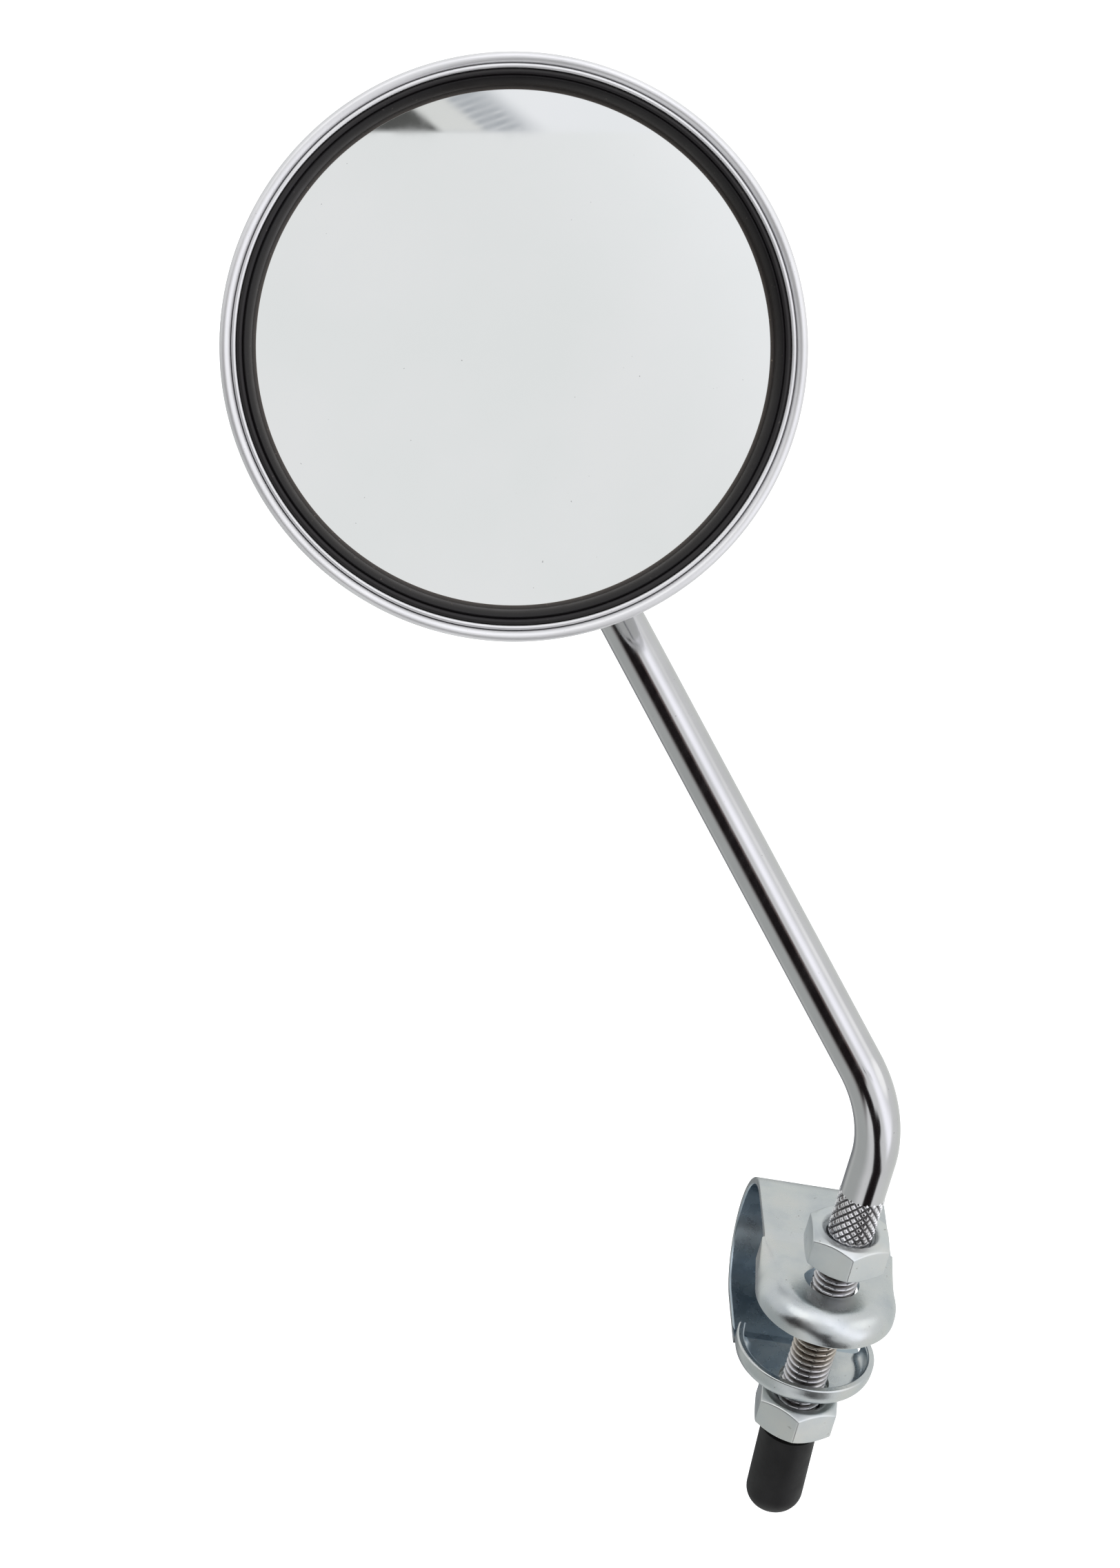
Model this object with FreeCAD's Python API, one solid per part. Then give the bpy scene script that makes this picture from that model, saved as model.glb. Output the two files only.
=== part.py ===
import FreeCAD, Part
import os
from math import acos, atan2, cos, pi, radians, sin, sqrt, tan

# Bicycle mirror: a round convex mirror head on a bent chrome arm, held by a
# U-shaped sheet-steel handlebar clamp that one threaded stud and two nuts close.
#
# Frame: origin at the centre of the handlebar bore, +X along the handlebar,
# +Z along the arm's stud towards the mirror, -Y towards the clamp's ears.
# Millimetres.

V = FreeCAD.Vector

# ---- driving dimensions ------------------------------------------------------
# handlebar clamp
bar_bore_radius = 11.15         # for a 22.2 mm handlebar
strap_thickness = 1.3
strap_width = 23.0
ear_drop = 0.35                 # how far each ear steps in from the loop's tangent
ear_crease_y = -12.5            # where the flat legs turn into the ears
ear_radius = 12.6
ear_shoulder = 11.9              # half width of the ears where they leave the strap
lower_ear_shift = 0.6            # the lower ear is bent a little to the right
upper_ear_centre_y = -22.0
lower_ear_centre_y = -16.4      # the lower ear is shorter in front
upper_lip_height = 5.4          # turned down, outer face to lip edge
lower_lip_height = 4.6          # turned up
upper_bend_over = 4.4           # outside radius where the upper ear turns down
lower_bend_over = 3.2           # outside radius where the lower ear turns up
crease_bend_over = 0.4          # where the upper ear's sides start at the crease
sheet_edge_radius = 0.35        # worn, tumbled edges of the stamping
upper_ear_hole_radius = 5.0
lower_ear_hole_radius = 4.6

# threaded stud, nuts and end cap
stud_x = 0.6                    # the stud sits a little off centre in its wide holes
stud_y = -22.0
stud_radius = 4.0               # M8
stud_end_z = -33.0
stud_chamfer = 0.8
knurl_radius = 4.12
knurl_bottom_z = 22.9
knurl_top_z = 32.5
nut_across_flats = 13.8
nut_height = 6.5
nut_bore_radius = 4.05          # running fit on the stud
nut_mouth_radius = 5.25
nut_mouth_depth = 1.15
nut_chamfer_angle = 30.0
upper_nut_z = 17.2
lower_nut_z = -20.0
upper_nut_corner_angle = 30.0
lower_nut_corner_angle = 25.0
cap_top_z = -21.6
cap_length = 18.5
cap_radius = 5.1
cap_end_rounding = 4.2
cap_bore_radius = 4.05
cap_lean = 3.0                  # degrees that the soft cap hangs off the stud's line

# bent arm
arm_radius = 4.0
bend_vertex_z = 49.1
lower_bend_radius = 18.0
arm_direction = V(-0.5771, 0.6090, 0.5441)
arm_straight = 108.0            # lower bend vertex to the gentle upper bend
upper_bend_radius = 45.0
elbow_bend_radius = 9.0
neck_radius = 3.0
neck_length = 9.4               # ball centre to the shoulder of the arm

# mirror head, in its own frame: +z out of the glass, z = 0 at the rim's widest circle
head_centre = V(-85.26, 40.86, 150.04)
head_normal = V(-0.0897, -0.8497, 0.5196)
rim_radius = 50.0
rim_bead_radius = 0.95
sheet = 0.8
skirt_depth = 5.0
bowl_floor_z = -18.6
bowl_floor_radius = 22.0
bowl_waist = (38.5, -12.2)      # a point that the outside of the bowl passes through
glass_radius = 45.6
glass_thickness = 2.0
glass_edge_z = -2.4
glass_crown = 0.5               # height of the convex face at its centre
gasket_inner_radius = 43.8
gasket_outer_radius = 47.25
gasket_crown_z = 0.45
bezel_gap = 0.12                # dark line between the bezel ring and the bead
bezel_top_z = 0.7
pad_radius = 42.5
pad_thickness = 0.9

# ball joint inside the head
ball_z = -16.0
ball_radius = 6.0
ball_flat = 1.2
seat_inner_radius = 6.06
seat_outer_radius = 7.2
socket_inner_radius = 7.5
socket_outer_radius = 8.3
socket_mouth_angle = 47.0       # from the back of the head's axis
rear_seat_angles = (49.0, 80.0)
front_seat_angles = (105.0, 160.0)
cup_rim_angle = 116.0
cup_flange_radius = 13.0
spring_coil_radius = 11.2
spring_wire_radius = 0.55
spring_turns = 2.5
hat_radius = 17.0
hat_thickness = 1.1
hat_flange_radius = 21.3
hat_top_z = -5.9
rivet_circle_radius = 19.2
rivet_count = 3
rivet_radius = 1.5
rivet_head_radius = 2.9
rivet_head_height = 1.3


# ---- small geometry helpers --------------------------------------------------
def line(a, b):
    return Part.LineSegment(a, b).toShape()


def arc(a, middle, b):
    return Part.Arc(a, middle, b).toShape()


def revolve(edges):
    """Solid of revolution about Z from closed edges drawn in the XZ plane."""
    face = Part.Face(Part.Wire(edges))
    return face.revolve(V(0, 0, 0), V(0, 0, 1), 360)


def polygon(points):
    """Edges of a closed outline given as (radius, height) pairs."""
    corners = [V(r, 0, z) for r, z in points]
    return [line(a, b) for a, b in zip(corners, corners[1:] + corners[:1])]


def on_sphere(radius, angle):
    """Point of the head's meridian on a sphere about the ball, angle from the back."""
    a = radians(angle)
    return V(radius * sin(a), 0, ball_z - radius * cos(a))


def sphere_zone(inner, outer, start, end):
    """Part of a spherical shell about the ball, between two angles from the back."""
    middle = (start + end) / 2
    return revolve([
        arc(on_sphere(inner, start), on_sphere(inner, middle), on_sphere(inner, end)),
        line(on_sphere(inner, end), on_sphere(outer, end)),
        arc(on_sphere(outer, end), on_sphere(outer, middle), on_sphere(outer, start)),
        line(on_sphere(outer, start), on_sphere(inner, start)),
    ])


def head_placement():
    turn = FreeCAD.Rotation(V(0, 0, 1), head_normal)
    return FreeCAD.Placement(head_centre, turn)


def in_head(shape):
    placed = shape.copy()
    placed.Placement = head_placement().multiply(placed.Placement)
    return placed


def vertical_cylinder(radius, x, y, low, high):
    return Part.makeCylinder(radius, high - low, V(x, y, low))


# ---- handlebar clamp ---------------------------------------------------------
def ear_outline(radius, half_width, centre_y, back_y):
    """Round-ended plate outline: an arc whose ends run tangent to the strap's corners."""
    reach = back_y - centre_y
    gap = sqrt(half_width ** 2 + reach ** 2)
    front = V(0, centre_y - radius, 0)
    if gap <= radius:
        half_chord = sqrt(radius ** 2 - reach ** 2)
        left, right = V(-half_chord, back_y, 0), V(half_chord, back_y, 0)
        return Part.Wire([arc(left, front, right), line(right, left)])
    angle = atan2(reach, half_width) - acos(radius / gap)
    x = radius * cos(angle)
    y = centre_y + radius * sin(angle)
    left, right = V(-x, y, 0), V(x, y, 0)
    back_left, back_right = V(-half_width, back_y, 0), V(half_width, back_y, 0)
    return Part.Wire([
        line(back_left, left),
        arc(left, front, right),
        line(right, back_right),
        line(back_right, back_left),
    ])


def rounded_ear(centre_y, lip_height, bend_over):
    """A dished ear with its outer face at z = 0 and its lip hanging down."""
    half = ear_shoulder
    inner_half = half - strap_thickness
    inner_radius = ear_radius - strap_thickness
    outline = ear_outline(ear_radius, half, centre_y, ear_crease_y)
    block = Part.Face(outline).extrude(V(0, 0, -lip_height))
    block = round_rim(block, 0, bend_over)
    hollow_line = ear_outline(inner_radius, inner_half, centre_y, ear_crease_y + 1)
    hollow = Part.Face(hollow_line).extrude(V(0, 0, -lip_height))
    hollow.translate(V(0, 0, -strap_thickness))
    hollow = round_rim(hollow, -strap_thickness, bend_over - strap_thickness)
    ear = block.cut(hollow)
    lip_edges = [edge for edge in ear.Edges
                 if abs(edge.BoundBox.ZMax + lip_height) < 1e-4 and edge.BoundBox.YLength > 2.0]
    return ear.makeFillet(sheet_edge_radius, lip_edges)


def round_rim(block, height, bend_over):
    """Rounds a plate's rim at that height; straight sides start nearly sharp at the crease."""
    def is_rim(edge):
        box = edge.BoundBox
        level = abs(box.ZMin - height) < 1e-4 and abs(box.ZMax - height) < 1e-4
        return level and box.YLength > 0.5

    def radius_at(edge, vertex):
        straight = isinstance(edge.Curve, Part.Line)
        return crease_bend_over if straight and vertex.Y > ear_crease_y - 0.1 else bend_over

    document = FreeCAD.newDocument()
    base = document.addObject("Part::Feature", "plate")
    base.Shape = block
    fillet = document.addObject("Part::Fillet", "rounded_plate")
    fillet.Base = base
    fillet.Edges = [(number, radius_at(edge, edge.Vertexes[0]), radius_at(edge, edge.Vertexes[-1]))
                    for number, edge in enumerate(block.Edges, 1) if is_rim(edge)]
    document.recompute()
    rounded = fillet.Shape.copy()
    FreeCAD.closeDocument(document.Name)
    return rounded


def clamp_strap():
    outer = bar_bore_radius + strap_thickness
    half = strap_width / 2
    leg_end = ear_crease_y + 2.0
    ear_start = ear_crease_y - 0.5
    ear_level = outer - ear_drop

    def at(y, z):
        return V(-half, y, z)

    upper_corners = [
        at(0, bar_bore_radius), at(leg_end, bar_bore_radius), at(ear_start, ear_level - strap_thickness),
        at(ear_start, ear_level), at(leg_end, outer), at(0, outer),
    ]
    lower_corners = [at(p.y, -p.z) for p in reversed(upper_corners)]
    upper_leg = [line(a, b) for a, b in zip(upper_corners, upper_corners[1:])]
    lower_leg = [line(a, b) for a, b in zip(lower_corners, lower_corners[1:])]
    outside = arc(at(0, outer), at(outer, 0), at(0, -outer))
    inside = arc(at(0, -bar_bore_radius), at(bar_bore_radius, 0), at(0, bar_bore_radius))
    profile = Part.Wire(upper_leg + [outside] + lower_leg + [inside])
    loop = Part.Face(profile).extrude(V(strap_width, 0, 0))
    side_edges = [edge for edge in loop.Edges
                  if edge.BoundBox.XLength < 1e-4 and edge.BoundBox.YMin > ear_crease_y - 0.4]
    loop = loop.makeFillet(sheet_edge_radius, side_edges)
    upper = rounded_ear(upper_ear_centre_y, upper_lip_height, upper_bend_over)
    upper.translate(V(0, 0, ear_level))
    lower = rounded_ear(lower_ear_centre_y, lower_lip_height, lower_bend_over)
    lower = lower.mirror(V(0, 0, 0), V(0, 0, 1))
    lower.translate(V(lower_ear_shift, 0, -ear_level))
    strap = loop.fuse([upper, lower])
    strap = strap.cut(vertical_cylinder(upper_ear_hole_radius, 0, stud_y, 0, outer + 5))
    strap = strap.cut(vertical_cylinder(lower_ear_hole_radius, lower_ear_shift, stud_y, -outer - 5, 0))
    return strap.removeSplitter()


# ---- nuts and end cap --------------------------------------------------------
def hex_nut(low, corner_angle):
    across_corners = nut_across_flats / cos(pi / 6)
    corners = []
    for index in range(7):
        angle = radians(corner_angle + 60 * index)
        corners.append(V(across_corners / 2 * cos(angle), across_corners / 2 * sin(angle), 0))
    prism = Part.Face(Part.makePolygon(corners)).extrude(V(0, 0, nut_height))
    face_radius = 0.47 * nut_across_flats
    drop = (across_corners / 2 - face_radius) * tan(radians(nut_chamfer_angle))
    body = revolve(polygon([
        (0, 0), (face_radius, 0), (across_corners / 2 + 0.01, drop),
        (across_corners / 2 + 0.01, nut_height - drop), (face_radius, nut_height),
        (0, nut_height),
    ]))
    nut = prism.common(body)
    bore = revolve(polygon([
        (0, -1), (nut_mouth_radius + 1.0, -1),
        (nut_mouth_radius, 0), (nut_bore_radius, nut_mouth_depth),
        (nut_bore_radius, nut_height - nut_mouth_depth), (nut_mouth_radius, nut_height),
        (nut_mouth_radius + 1.0, nut_height + 1), (0, nut_height + 1),
    ]))
    nut = nut.cut(bore)
    nut.translate(V(stud_x, stud_y, low))
    return nut


def end_cap():
    """Soft cap: a round-bottomed sleeve that leans a little off the stud's line."""
    sleeve = Part.makeCylinder(cap_radius, cap_length, V(0, 0, -cap_length))
    bottom = [e for e in sleeve.Edges if e.BoundBox.ZMax < 1 - cap_length]
    sleeve = sleeve.makeFillet(cap_end_rounding, bottom)
    sleeve.rotate(V(0, 0, 0), V(0, 1, 0), -cap_lean)
    sleeve.translate(V(stud_x, stud_y, cap_top_z))
    bore = vertical_cylinder(cap_bore_radius, stud_x, stud_y, stud_end_z - 1.0, cap_top_z + 3)
    top = vertical_cylinder(2 * cap_radius, stud_x, stud_y, cap_top_z - 0.35, cap_top_z + 5)
    return sleeve.cut(bore).cut(top)


# ---- bent arm ----------------------------------------------------------------
def unit(vector):
    result = V(vector)
    result.normalize()
    return result


def arm_points():
    """Corner points of the arm's centre line, from the stud's end to the ball."""
    normal = unit(head_normal)
    vertex = V(stud_x, stud_y, bend_vertex_z)
    upper = vertex + unit(arm_direction) * arm_straight
    ball = head_centre + normal * ball_z
    turn_in = normal.negative()
    # the elbow's corner lies on the head's axis, its tangent length behind the shoulder
    elbow = ball + turn_in * neck_length
    for _ in range(30):
        angle = unit(elbow - upper).getAngle(normal)
        elbow = ball + turn_in * (neck_length + 0.6 + elbow_bend_radius * tan(angle / 2))
    return vertex, upper, elbow, ball


def bent_path(points, radii):
    """Straight runs joined by tangent arcs, one radius for each inner corner."""
    edges = []
    start = points[0]
    for before, corner, after, radius in zip(points, points[1:], points[2:], radii):
        back = unit(before - corner)
        forward = unit(after - corner)
        half_turn = (pi - back.getAngle(forward)) / 2
        reach = radius * tan(half_turn)
        first = corner + back * reach
        last = corner + forward * reach
        inward = unit(back + forward)
        middle = corner + inward * (radius / cos(half_turn) - radius)
        edges.append(line(start, first))
        edges.append(arc(first, middle, last))
        start = last
    edges.append(line(start, points[-1]))
    return Part.Wire(edges)


def arm_rod():
    vertex, upper, elbow, ball = arm_points()
    shoulder = ball - unit(head_normal) * neck_length
    foot = V(stud_x, stud_y, stud_end_z + stud_chamfer)
    path = bent_path([foot, vertex, upper, elbow, shoulder],
                     [lower_bend_radius, upper_bend_radius, elbow_bend_radius])
    section = Part.Wire(Part.makeCircle(arm_radius, foot, V(0, 0, 1)))
    rod = path.makePipeShell([section], True, False)
    tip = Part.makeCone(stud_radius - stud_chamfer, stud_radius, stud_chamfer,
                        V(stud_x, stud_y, stud_end_z))
    neck = Part.makeCylinder(neck_radius, neck_length - 2.0, shoulder, unit(head_normal))
    knurl = vertical_cylinder(knurl_radius, stud_x, stud_y, knurl_bottom_z, knurl_top_z)
    return rod.fuse([tip, neck, knurl]).removeSplitter()


def pivot_ball():
    ball = Part.makeSphere(ball_radius, V(0, 0, ball_z))
    bore = Part.makeCylinder(neck_radius, ball_radius + 2.0, V(0, 0, ball_z - ball_radius - 4.0))
    front = Part.makeBox(20, 20, 5, V(-10, -10, ball_z + ball_radius - ball_flat))
    return in_head(ball.cut(bore).cut(front))


# ---- ball joint's seats, cup, spring and hat ---------------------------------
def rear_seat():
    return in_head(sphere_zone(seat_inner_radius, seat_outer_radius, *rear_seat_angles))


def front_seat():
    return in_head(sphere_zone(seat_inner_radius, seat_outer_radius, *front_seat_angles))


def spring_cup():
    dome = sphere_zone(socket_inner_radius, socket_outer_radius, cup_rim_angle, 172)
    rim = on_sphere(socket_outer_radius, cup_rim_angle)
    inner_rim = on_sphere(socket_inner_radius, cup_rim_angle + 1.5)
    flange = revolve(polygon([
        (inner_rim.x, rim.z), (cup_flange_radius, rim.z),
        (cup_flange_radius, rim.z + sheet), (inner_rim.x, rim.z + sheet),
    ]))
    hollow = Part.makeSphere(socket_inner_radius, V(0, 0, ball_z))
    return in_head(dome.fuse(flange).cut(hollow).removeSplitter())


def pressure_spring():
    low = on_sphere(socket_outer_radius, cup_rim_angle).z + sheet + spring_wire_radius
    high = hat_top_z - hat_thickness - spring_wire_radius
    pitch = (high - low - 0.1) / spring_turns
    helix = Part.makeHelix(pitch, pitch * spring_turns, spring_coil_radius)
    section = Part.Wire(Part.makeCircle(spring_wire_radius, V(spring_coil_radius, 0, 0), V(0, 1, 0)))
    coil = Part.Wire(helix.Edges).makePipeShell([section], True, True)
    coil.translate(V(0, 0, low + 0.05))
    return in_head(coil)


def rivet_places():
    for index in range(rivet_count):
        angle = radians(90 + 360 / rivet_count * index)
        yield V(rivet_circle_radius * cos(angle), rivet_circle_radius * sin(angle), 0)


def spring_hat():
    """Pressed steel hat over the spring, with a flange riveted to the bowl's floor."""
    floor = bowl_floor_z + sheet
    hat = revolve(polygon([
        (3.0, hat_top_z - hat_thickness), (hat_radius - hat_thickness, hat_top_z - hat_thickness),
        (hat_radius - hat_thickness, floor), (hat_flange_radius, floor),
        (hat_flange_radius, floor + hat_thickness), (hat_radius, floor + hat_thickness),
        (hat_radius, hat_top_z), (3.0, hat_top_z),
    ]))
    for place in rivet_places():
        hat = hat.cut(vertical_cylinder(rivet_radius, place.x, place.y, floor - 1, floor + 3))
    return in_head(hat)


def dome_cap(radius, height):
    """A low dome that rises by height from z = 0, cut from a large sphere."""
    sphere_radius = (radius ** 2 + height ** 2) / (2 * height)
    # the sphere's own poles lie sideways, clear of the dome
    sphere = Part.makeSphere(sphere_radius, V(0, 0, height - sphere_radius), V(1, 0, 0))
    return sphere.common(Part.makeCylinder(radius, height + 1))


def hat_rivets():
    """Three dome-headed rivets, heads on the back of the bowl."""
    inside = bowl_floor_z + sheet + hat_thickness
    rivets = []
    for place in rivet_places():
        shank = vertical_cylinder(rivet_radius, place.x, place.y, bowl_floor_z, inside)
        head = dome_cap(rivet_head_radius, rivet_head_height)
        head.rotate(V(0, 0, 0), V(1, 0, 0), 180)
        head.translate(V(place.x, place.y, bowl_floor_z))
        upset = vertical_cylinder(rivet_radius + 0.7, place.x, place.y, inside, inside + 0.9)
        rivets.append(in_head(shank.fuse([head, upset]).removeSplitter()))
    return Part.makeCompound(rivets)


# ---- mirror head -------------------------------------------------------------
def head_shell():
    """Chrome bowl: socket in the middle of its floor, rolled bead round its mouth."""
    skirt_outer = rim_radius - rim_bead_radius + 0.1
    skirt_inner = skirt_outer - sheet
    floor = bowl_floor_z
    outer_meet = sqrt(socket_outer_radius ** 2 - (ball_z - floor) ** 2)
    inner_meet = sqrt(socket_inner_radius ** 2 - (ball_z - floor - sheet) ** 2)
    outer_lip = on_sphere(socket_outer_radius, socket_mouth_angle)
    inner_lip = on_sphere(socket_inner_radius, socket_mouth_angle)
    waist_r, waist_z = bowl_waist
    bowl = revolve([
        arc(outer_lip, on_sphere(socket_outer_radius, 60), V(outer_meet, 0, floor)),
        line(V(outer_meet, 0, floor), V(bowl_floor_radius, 0, floor)),
        arc(V(bowl_floor_radius, 0, floor), V(waist_r, 0, waist_z), V(skirt_outer, 0, -skirt_depth)),
        line(V(skirt_outer, 0, -skirt_depth), V(skirt_outer, 0, 0)),
        line(V(skirt_outer, 0, 0), V(skirt_inner, 0, 0)),
        line(V(skirt_inner, 0, 0), V(skirt_inner, 0, -skirt_depth - 0.2)),
        arc(V(skirt_inner, 0, -skirt_depth - 0.2), V(waist_r - 0.35, 0, waist_z + sheet - 0.05),
            V(bowl_floor_radius, 0, floor + sheet)),
        line(V(bowl_floor_radius, 0, floor + sheet), V(inner_meet, 0, floor + sheet)),
        arc(V(inner_meet, 0, floor + sheet), on_sphere(socket_inner_radius, 60), inner_lip),
        line(inner_lip, outer_lip),
    ])
    bead = Part.makeTorus(rim_radius - rim_bead_radius, rim_bead_radius)
    shell = bowl.fuse(bead)
    for place in rivet_places():
        shell = shell.cut(vertical_cylinder(rivet_radius, place.x, place.y, floor - 1, floor + 2))
    return in_head(shell.removeSplitter())


def glass_blank():
    """Round glass with a shallow convex face, in the head's frame."""
    plate = vertical_cylinder(glass_radius, 0, 0, glass_edge_z - glass_thickness, glass_edge_z)
    crown = dome_cap(glass_radius, glass_crown)
    crown.translate(V(0, 0, glass_edge_z))
    return plate.fuse(crown).removeSplitter()


def mirror_glass():
    return in_head(glass_blank())


def glass_gasket():
    """Black rubber ring: a groove for the glass, a soft slope up from it and two ridges."""
    back = glass_edge_z - glass_thickness
    inner, outer = gasket_inner_radius, gasket_outer_radius
    lip_top = glass_edge_z + 0.5
    ridge = inner + 1.95
    valley = inner + 2.35
    crown = gasket_crown_z
    ring = revolve([
        line(V(glass_radius, 0, back), V(glass_radius, 0, glass_edge_z)),
        line(V(glass_radius, 0, glass_edge_z), V(inner, 0, glass_edge_z)),
        line(V(inner, 0, glass_edge_z), V(inner, 0, lip_top)),
        line(V(inner, 0, lip_top), V(inner + 0.55, 0, lip_top + 0.1)),
        arc(V(inner + 0.55, 0, lip_top + 0.1), V(inner + 1.05, 0, crown - 1.05), V(ridge, 0, crown - 0.25)),
        line(V(ridge, 0, crown - 0.25), V(valley, 0, crown - 0.75)),
        arc(V(valley, 0, crown - 0.75), V(valley + 0.55, 0, crown - 0.06), V(outer - 0.1, 0, crown - 0.55)),
        line(V(outer - 0.1, 0, crown - 0.55), V(outer - 0.1, 0, back - 0.9)),
        line(V(outer - 0.1, 0, back - 0.9), V(inner + 0.4, 0, back - 0.9)),
        line(V(inner + 0.4, 0, back - 0.9), V(inner + 0.4, 0, back)),
        line(V(inner + 0.4, 0, back), V(glass_radius, 0, back)),
    ])
    return in_head(ring.cut(glass_blank()))


def bezel_ring():
    """Thin chrome ring that holds the gasket in the bowl's mouth, just inside the bead."""
    inner = gasket_outer_radius
    outer = rim_radius - 2 * rim_bead_radius - bezel_gap
    seat = rim_radius - rim_bead_radius + 0.1 - sheet
    top = bezel_top_z
    round_over = 0.3
    foot = -skirt_depth + 0.4
    return in_head(revolve([
        line(V(inner, 0, foot), V(inner, 0, top - round_over)),
        arc(V(inner, 0, top - round_over), V((inner + outer) / 2, 0, top), V(outer, 0, top - round_over)),
        line(V(outer, 0, top - round_over), V(outer, 0, -1.2)),
        line(V(outer, 0, -1.2), V(seat, 0, -1.6)),
        line(V(seat, 0, -1.6), V(seat, 0, foot)),
        line(V(seat, 0, foot), V(inner, 0, foot)),
    ]))


def backing_pad():
    back = glass_edge_z - glass_thickness
    return in_head(vertical_cylinder(pad_radius, 0, 0, back - pad_thickness, back))


NODES = {
    "clamp_strap": clamp_strap,
    "upper_nut": lambda: hex_nut(upper_nut_z, upper_nut_corner_angle),
    "lower_nut": lambda: hex_nut(lower_nut_z, lower_nut_corner_angle),
    "end_cap": end_cap,
    "arm_rod": arm_rod,
    "pivot_ball": pivot_ball,
    "rear_seat": rear_seat,
    "front_seat": front_seat,
    "spring_cup": spring_cup,
    "pressure_spring": pressure_spring,
    "spring_hat": spring_hat,
    "hat_rivets": hat_rivets,
    "head_shell": head_shell,
    "mirror_glass": mirror_glass,
    "glass_gasket": glass_gasket,
    "bezel_ring": bezel_ring,
    "backing_pad": backing_pad,
}

os.makedirs("parts", exist_ok=True)
for name, build in NODES.items():
    shape = build()
    box = shape.BoundBox
    print(name, "solids", len(shape.Solids), "valid", shape.isValid(), "volume", round(shape.Volume, 1),
          "box", [round(v, 2) for v in (box.XMin, box.YMin, box.ZMin, box.XMax, box.YMax, box.ZMax)])
    shape.exportStep("parts/%s.step" % name)
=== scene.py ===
from math import atan2, cos, pi, radians, sin, sqrt, tan

import bpy
from mathutils import Matrix, Quaternion, Vector


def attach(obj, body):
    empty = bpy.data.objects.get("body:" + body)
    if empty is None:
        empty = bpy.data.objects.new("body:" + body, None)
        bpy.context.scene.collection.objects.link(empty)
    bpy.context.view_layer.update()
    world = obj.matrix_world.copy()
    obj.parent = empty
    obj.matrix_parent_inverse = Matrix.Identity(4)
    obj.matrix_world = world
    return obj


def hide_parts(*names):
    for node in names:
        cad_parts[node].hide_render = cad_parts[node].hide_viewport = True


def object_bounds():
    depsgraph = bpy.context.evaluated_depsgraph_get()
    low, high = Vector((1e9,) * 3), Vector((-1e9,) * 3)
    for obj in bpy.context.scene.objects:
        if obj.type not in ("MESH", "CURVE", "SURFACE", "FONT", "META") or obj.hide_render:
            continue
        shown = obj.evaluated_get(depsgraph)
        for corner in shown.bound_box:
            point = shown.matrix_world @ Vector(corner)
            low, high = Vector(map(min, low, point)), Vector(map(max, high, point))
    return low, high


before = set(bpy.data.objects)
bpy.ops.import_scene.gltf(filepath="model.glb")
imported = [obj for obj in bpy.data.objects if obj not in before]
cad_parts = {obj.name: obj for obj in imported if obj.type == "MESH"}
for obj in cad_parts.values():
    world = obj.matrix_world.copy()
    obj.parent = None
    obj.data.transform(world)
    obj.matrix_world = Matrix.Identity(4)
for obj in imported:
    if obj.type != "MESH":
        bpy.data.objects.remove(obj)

# Looks of a bicycle mirror: a chromed head on a bent chrome arm, a zinc handlebar
# clamp with two nuts on the arm's threaded stud, and a soft black end cap.
# Dimensions are millimetres in the object's own frame, with the handlebar along X
# through the origin; MM turns them into the scene's metres.

MM = 0.001
cad_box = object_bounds()

# ---- driving dimensions, mm --------------------------------------------------
STUD_X, STUD_Y = 0.6, -22.0
STUD_END_Z = -33.0
BORE_RADIUS = 11.15
EAR_CREASE_Y = -12.5
THREAD_RADIUS = 4.0
THREAD_PITCH = 1.25
THREAD_DEPTH = 0.72
THREAD_ROOT, THREAD_FLANK, THREAD_CURVE = 0.16, 0.66, 0.9     # shares of half a pitch, flank's curve
THREAD_RUN_OUT = 1.5 * THREAD_PITCH
THREAD_INSET = 0.01
TIP_CHAMFER = 0.8
KNURL_BOTTOM_Z, KNURL_TOP_Z = 22.9, 32.5
KNURL_RADIUS = 4.12
KNURL_DEPTH = 0.42
KNURL_LINES = 17                # grooves of each hand around the stud
KNURL_LEAD = 0.85               # slope of a groove: turn against height on the band's surface
KNURL_GROOVE, KNURL_FLANK = 1.05, 3.6     # height of a groove's profile and slope of its sides
KNURL_FADE_LOW, KNURL_FADE_HIGH = 0.5, 0.7
KNURL_SINK = 0.04               # how far the band's two ends lie below the arm's surface
ARM_RADIUS = 4.0
BEND_VERTEX_Z = 49.1
LOWER_BEND_RADIUS = 18.0
ARM_DIRECTION = Vector((-0.5771, 0.6090, 0.5441)).normalized()
ARM_STRAIGHT = 108.0
UPPER_BEND_RADIUS = 45.0
ELBOW_BEND_RADIUS = 9.0
NECK_RADIUS = 3.0
NECK_LENGTH = 9.4
NECK_IN_BALL = 3.0
SHOULDER_ROUNDING = 0.6
HEAD_CENTRE = Vector((-85.26, 40.86, 150.04))
HEAD_NORMAL = Vector((-0.0897, -0.8497, 0.5196)).normalized()
BALL_Z = -16.0
RIM_RADIUS, BEAD_RADIUS = 50.0, 0.95
SHEET, SKIRT_DEPTH = 0.8, 5.0
SKIRT_RADIUS = RIM_RADIUS - BEAD_RADIUS + 0.1
RIM_FINISH_START, RIM_FINISH_FULL = -3.0, -0.8     # heights between which the bowl's finish changes
BOWL_FLOOR_Z, BOWL_FLOOR_RADIUS = -18.6, 22.0
BOWL_WAIST = (38.5, -12.2)
SOCKET_INNER, SOCKET_OUTER, MOUTH_ANGLE = 7.5, 8.3, 47.0
GLASS_RADIUS, GLASS_THICKNESS = 45.6, 2.0
GLASS_EDGE_Z, GLASS_CROWN = -2.4, 0.5
GASKET_INNER, GASKET_OUTER, GASKET_CROWN_Z = 43.8, 47.25, 0.45
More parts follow.
